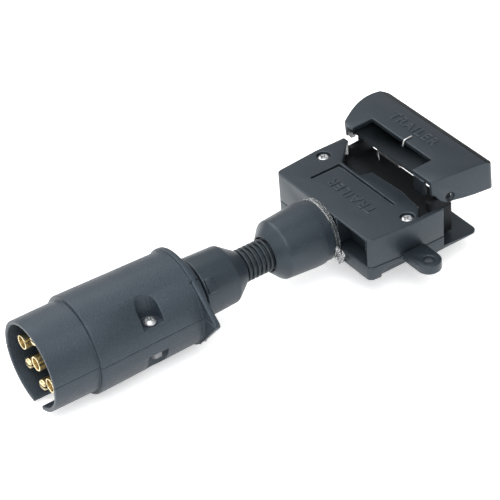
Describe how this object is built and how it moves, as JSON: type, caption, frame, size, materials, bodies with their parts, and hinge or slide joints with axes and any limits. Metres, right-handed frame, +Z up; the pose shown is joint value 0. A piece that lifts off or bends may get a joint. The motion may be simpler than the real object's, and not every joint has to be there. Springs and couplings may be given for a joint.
{
  "type": "trailer wiring adaptor",
  "caption": "Trailer wiring adaptor: a round pin plug joined in line by collars and a ribbed strain relief to a flat socket with a hinged, sprung lid.",
  "frame": {"origin": "centre of the round plug's mouth, on the shared axis", "axes": "+X along the axis from the plug's mouth to the lidded socket, +Z up out of the flat socket's top face"},
  "size_m": [0.199, 0.0968, 0.0444],
  "materials": {
    "plug_plastic": "fine moulded grain",
    "carrier_plastic": "matte",
    "housing_plastic": "satin",
    "insert_plastic": "matte",
    "lid_plastic": "satin",
    "boot_plastic": "satin",
    "rubber": "satin",
    "clear_nylon": "clear moulded nylon",
    "zinc": "zinc plated",
    "steel": "bright drawn",
    "brass": "nickel-flashed brass",
    "wire_1": "PVC insulation",
    "wire_2": "PVC insulation",
    "wire_3": "PVC insulation",
    "wire_4": "PVC insulation",
    "wire_5": "PVC insulation",
    "wire_6": "PVC insulation",
    "wire_7": "PVC insulation"
  },
  "bodies": {
    "adaptor": {"clear_tie": "clear_nylon", "contact_carrier": "carrier_plastic", "hinge_pin": "steel", "housing_screw_far": "zinc", "housing_screw_near": "zinc", "lid_spring": "steel", "neck_tube": "housing_plastic", "pin_contact_2": "brass", "pin_contact_3": "brass", "pin_contact_5": "brass", "pin_contact_6": "brass", "plug_collar": "boot_plastic", "plug_shell_lower": "plug_plastic", "plug_shell_upper": "plug_plastic", "shell_nut_far": "zinc", "shell_nut_near": "zinc", "shell_screw_far": "zinc", "shell_screw_near": "zinc", "socket_contact_1": "brass", "socket_contact_2": "brass", "socket_contact_3": "brass", "socket_contact_4": "brass", "socket_contact_5": "brass", "socket_contact_6": "brass", "socket_contact_7": "brass", "socket_gland": "boot_plastic", "socket_housing_lower": "housing_plastic", "socket_housing_upper": "housing_plastic", "socket_insert": "insert_plastic", "strain_relief": "rubber", "tube_contact_1": "brass", "tube_contact_4": "brass", "tube_contact_7": "brass", "wire_1": "wire_1", "wire_2": "wire_2", "wire_3": "wire_3", "wire_4": "wire_4", "wire_5": "wire_5", "wire_6": "wire_6", "wire_7": "wire_7"},
    "lid": {"lid": "lid_plastic"}
  },
  "joints": [
    {"name": "lid_hinge", "type": "hinge", "parent": "adaptor", "child": "lid", "pos_m": [0.1789, 0, 0.0123], "axis": [0, 1, 0], "range_deg": [-25, 90], "stiffness_Nm_per_rad": 0.008, "springref_deg": 89.95, "deforming": ["lid_spring"]}
  ]
}
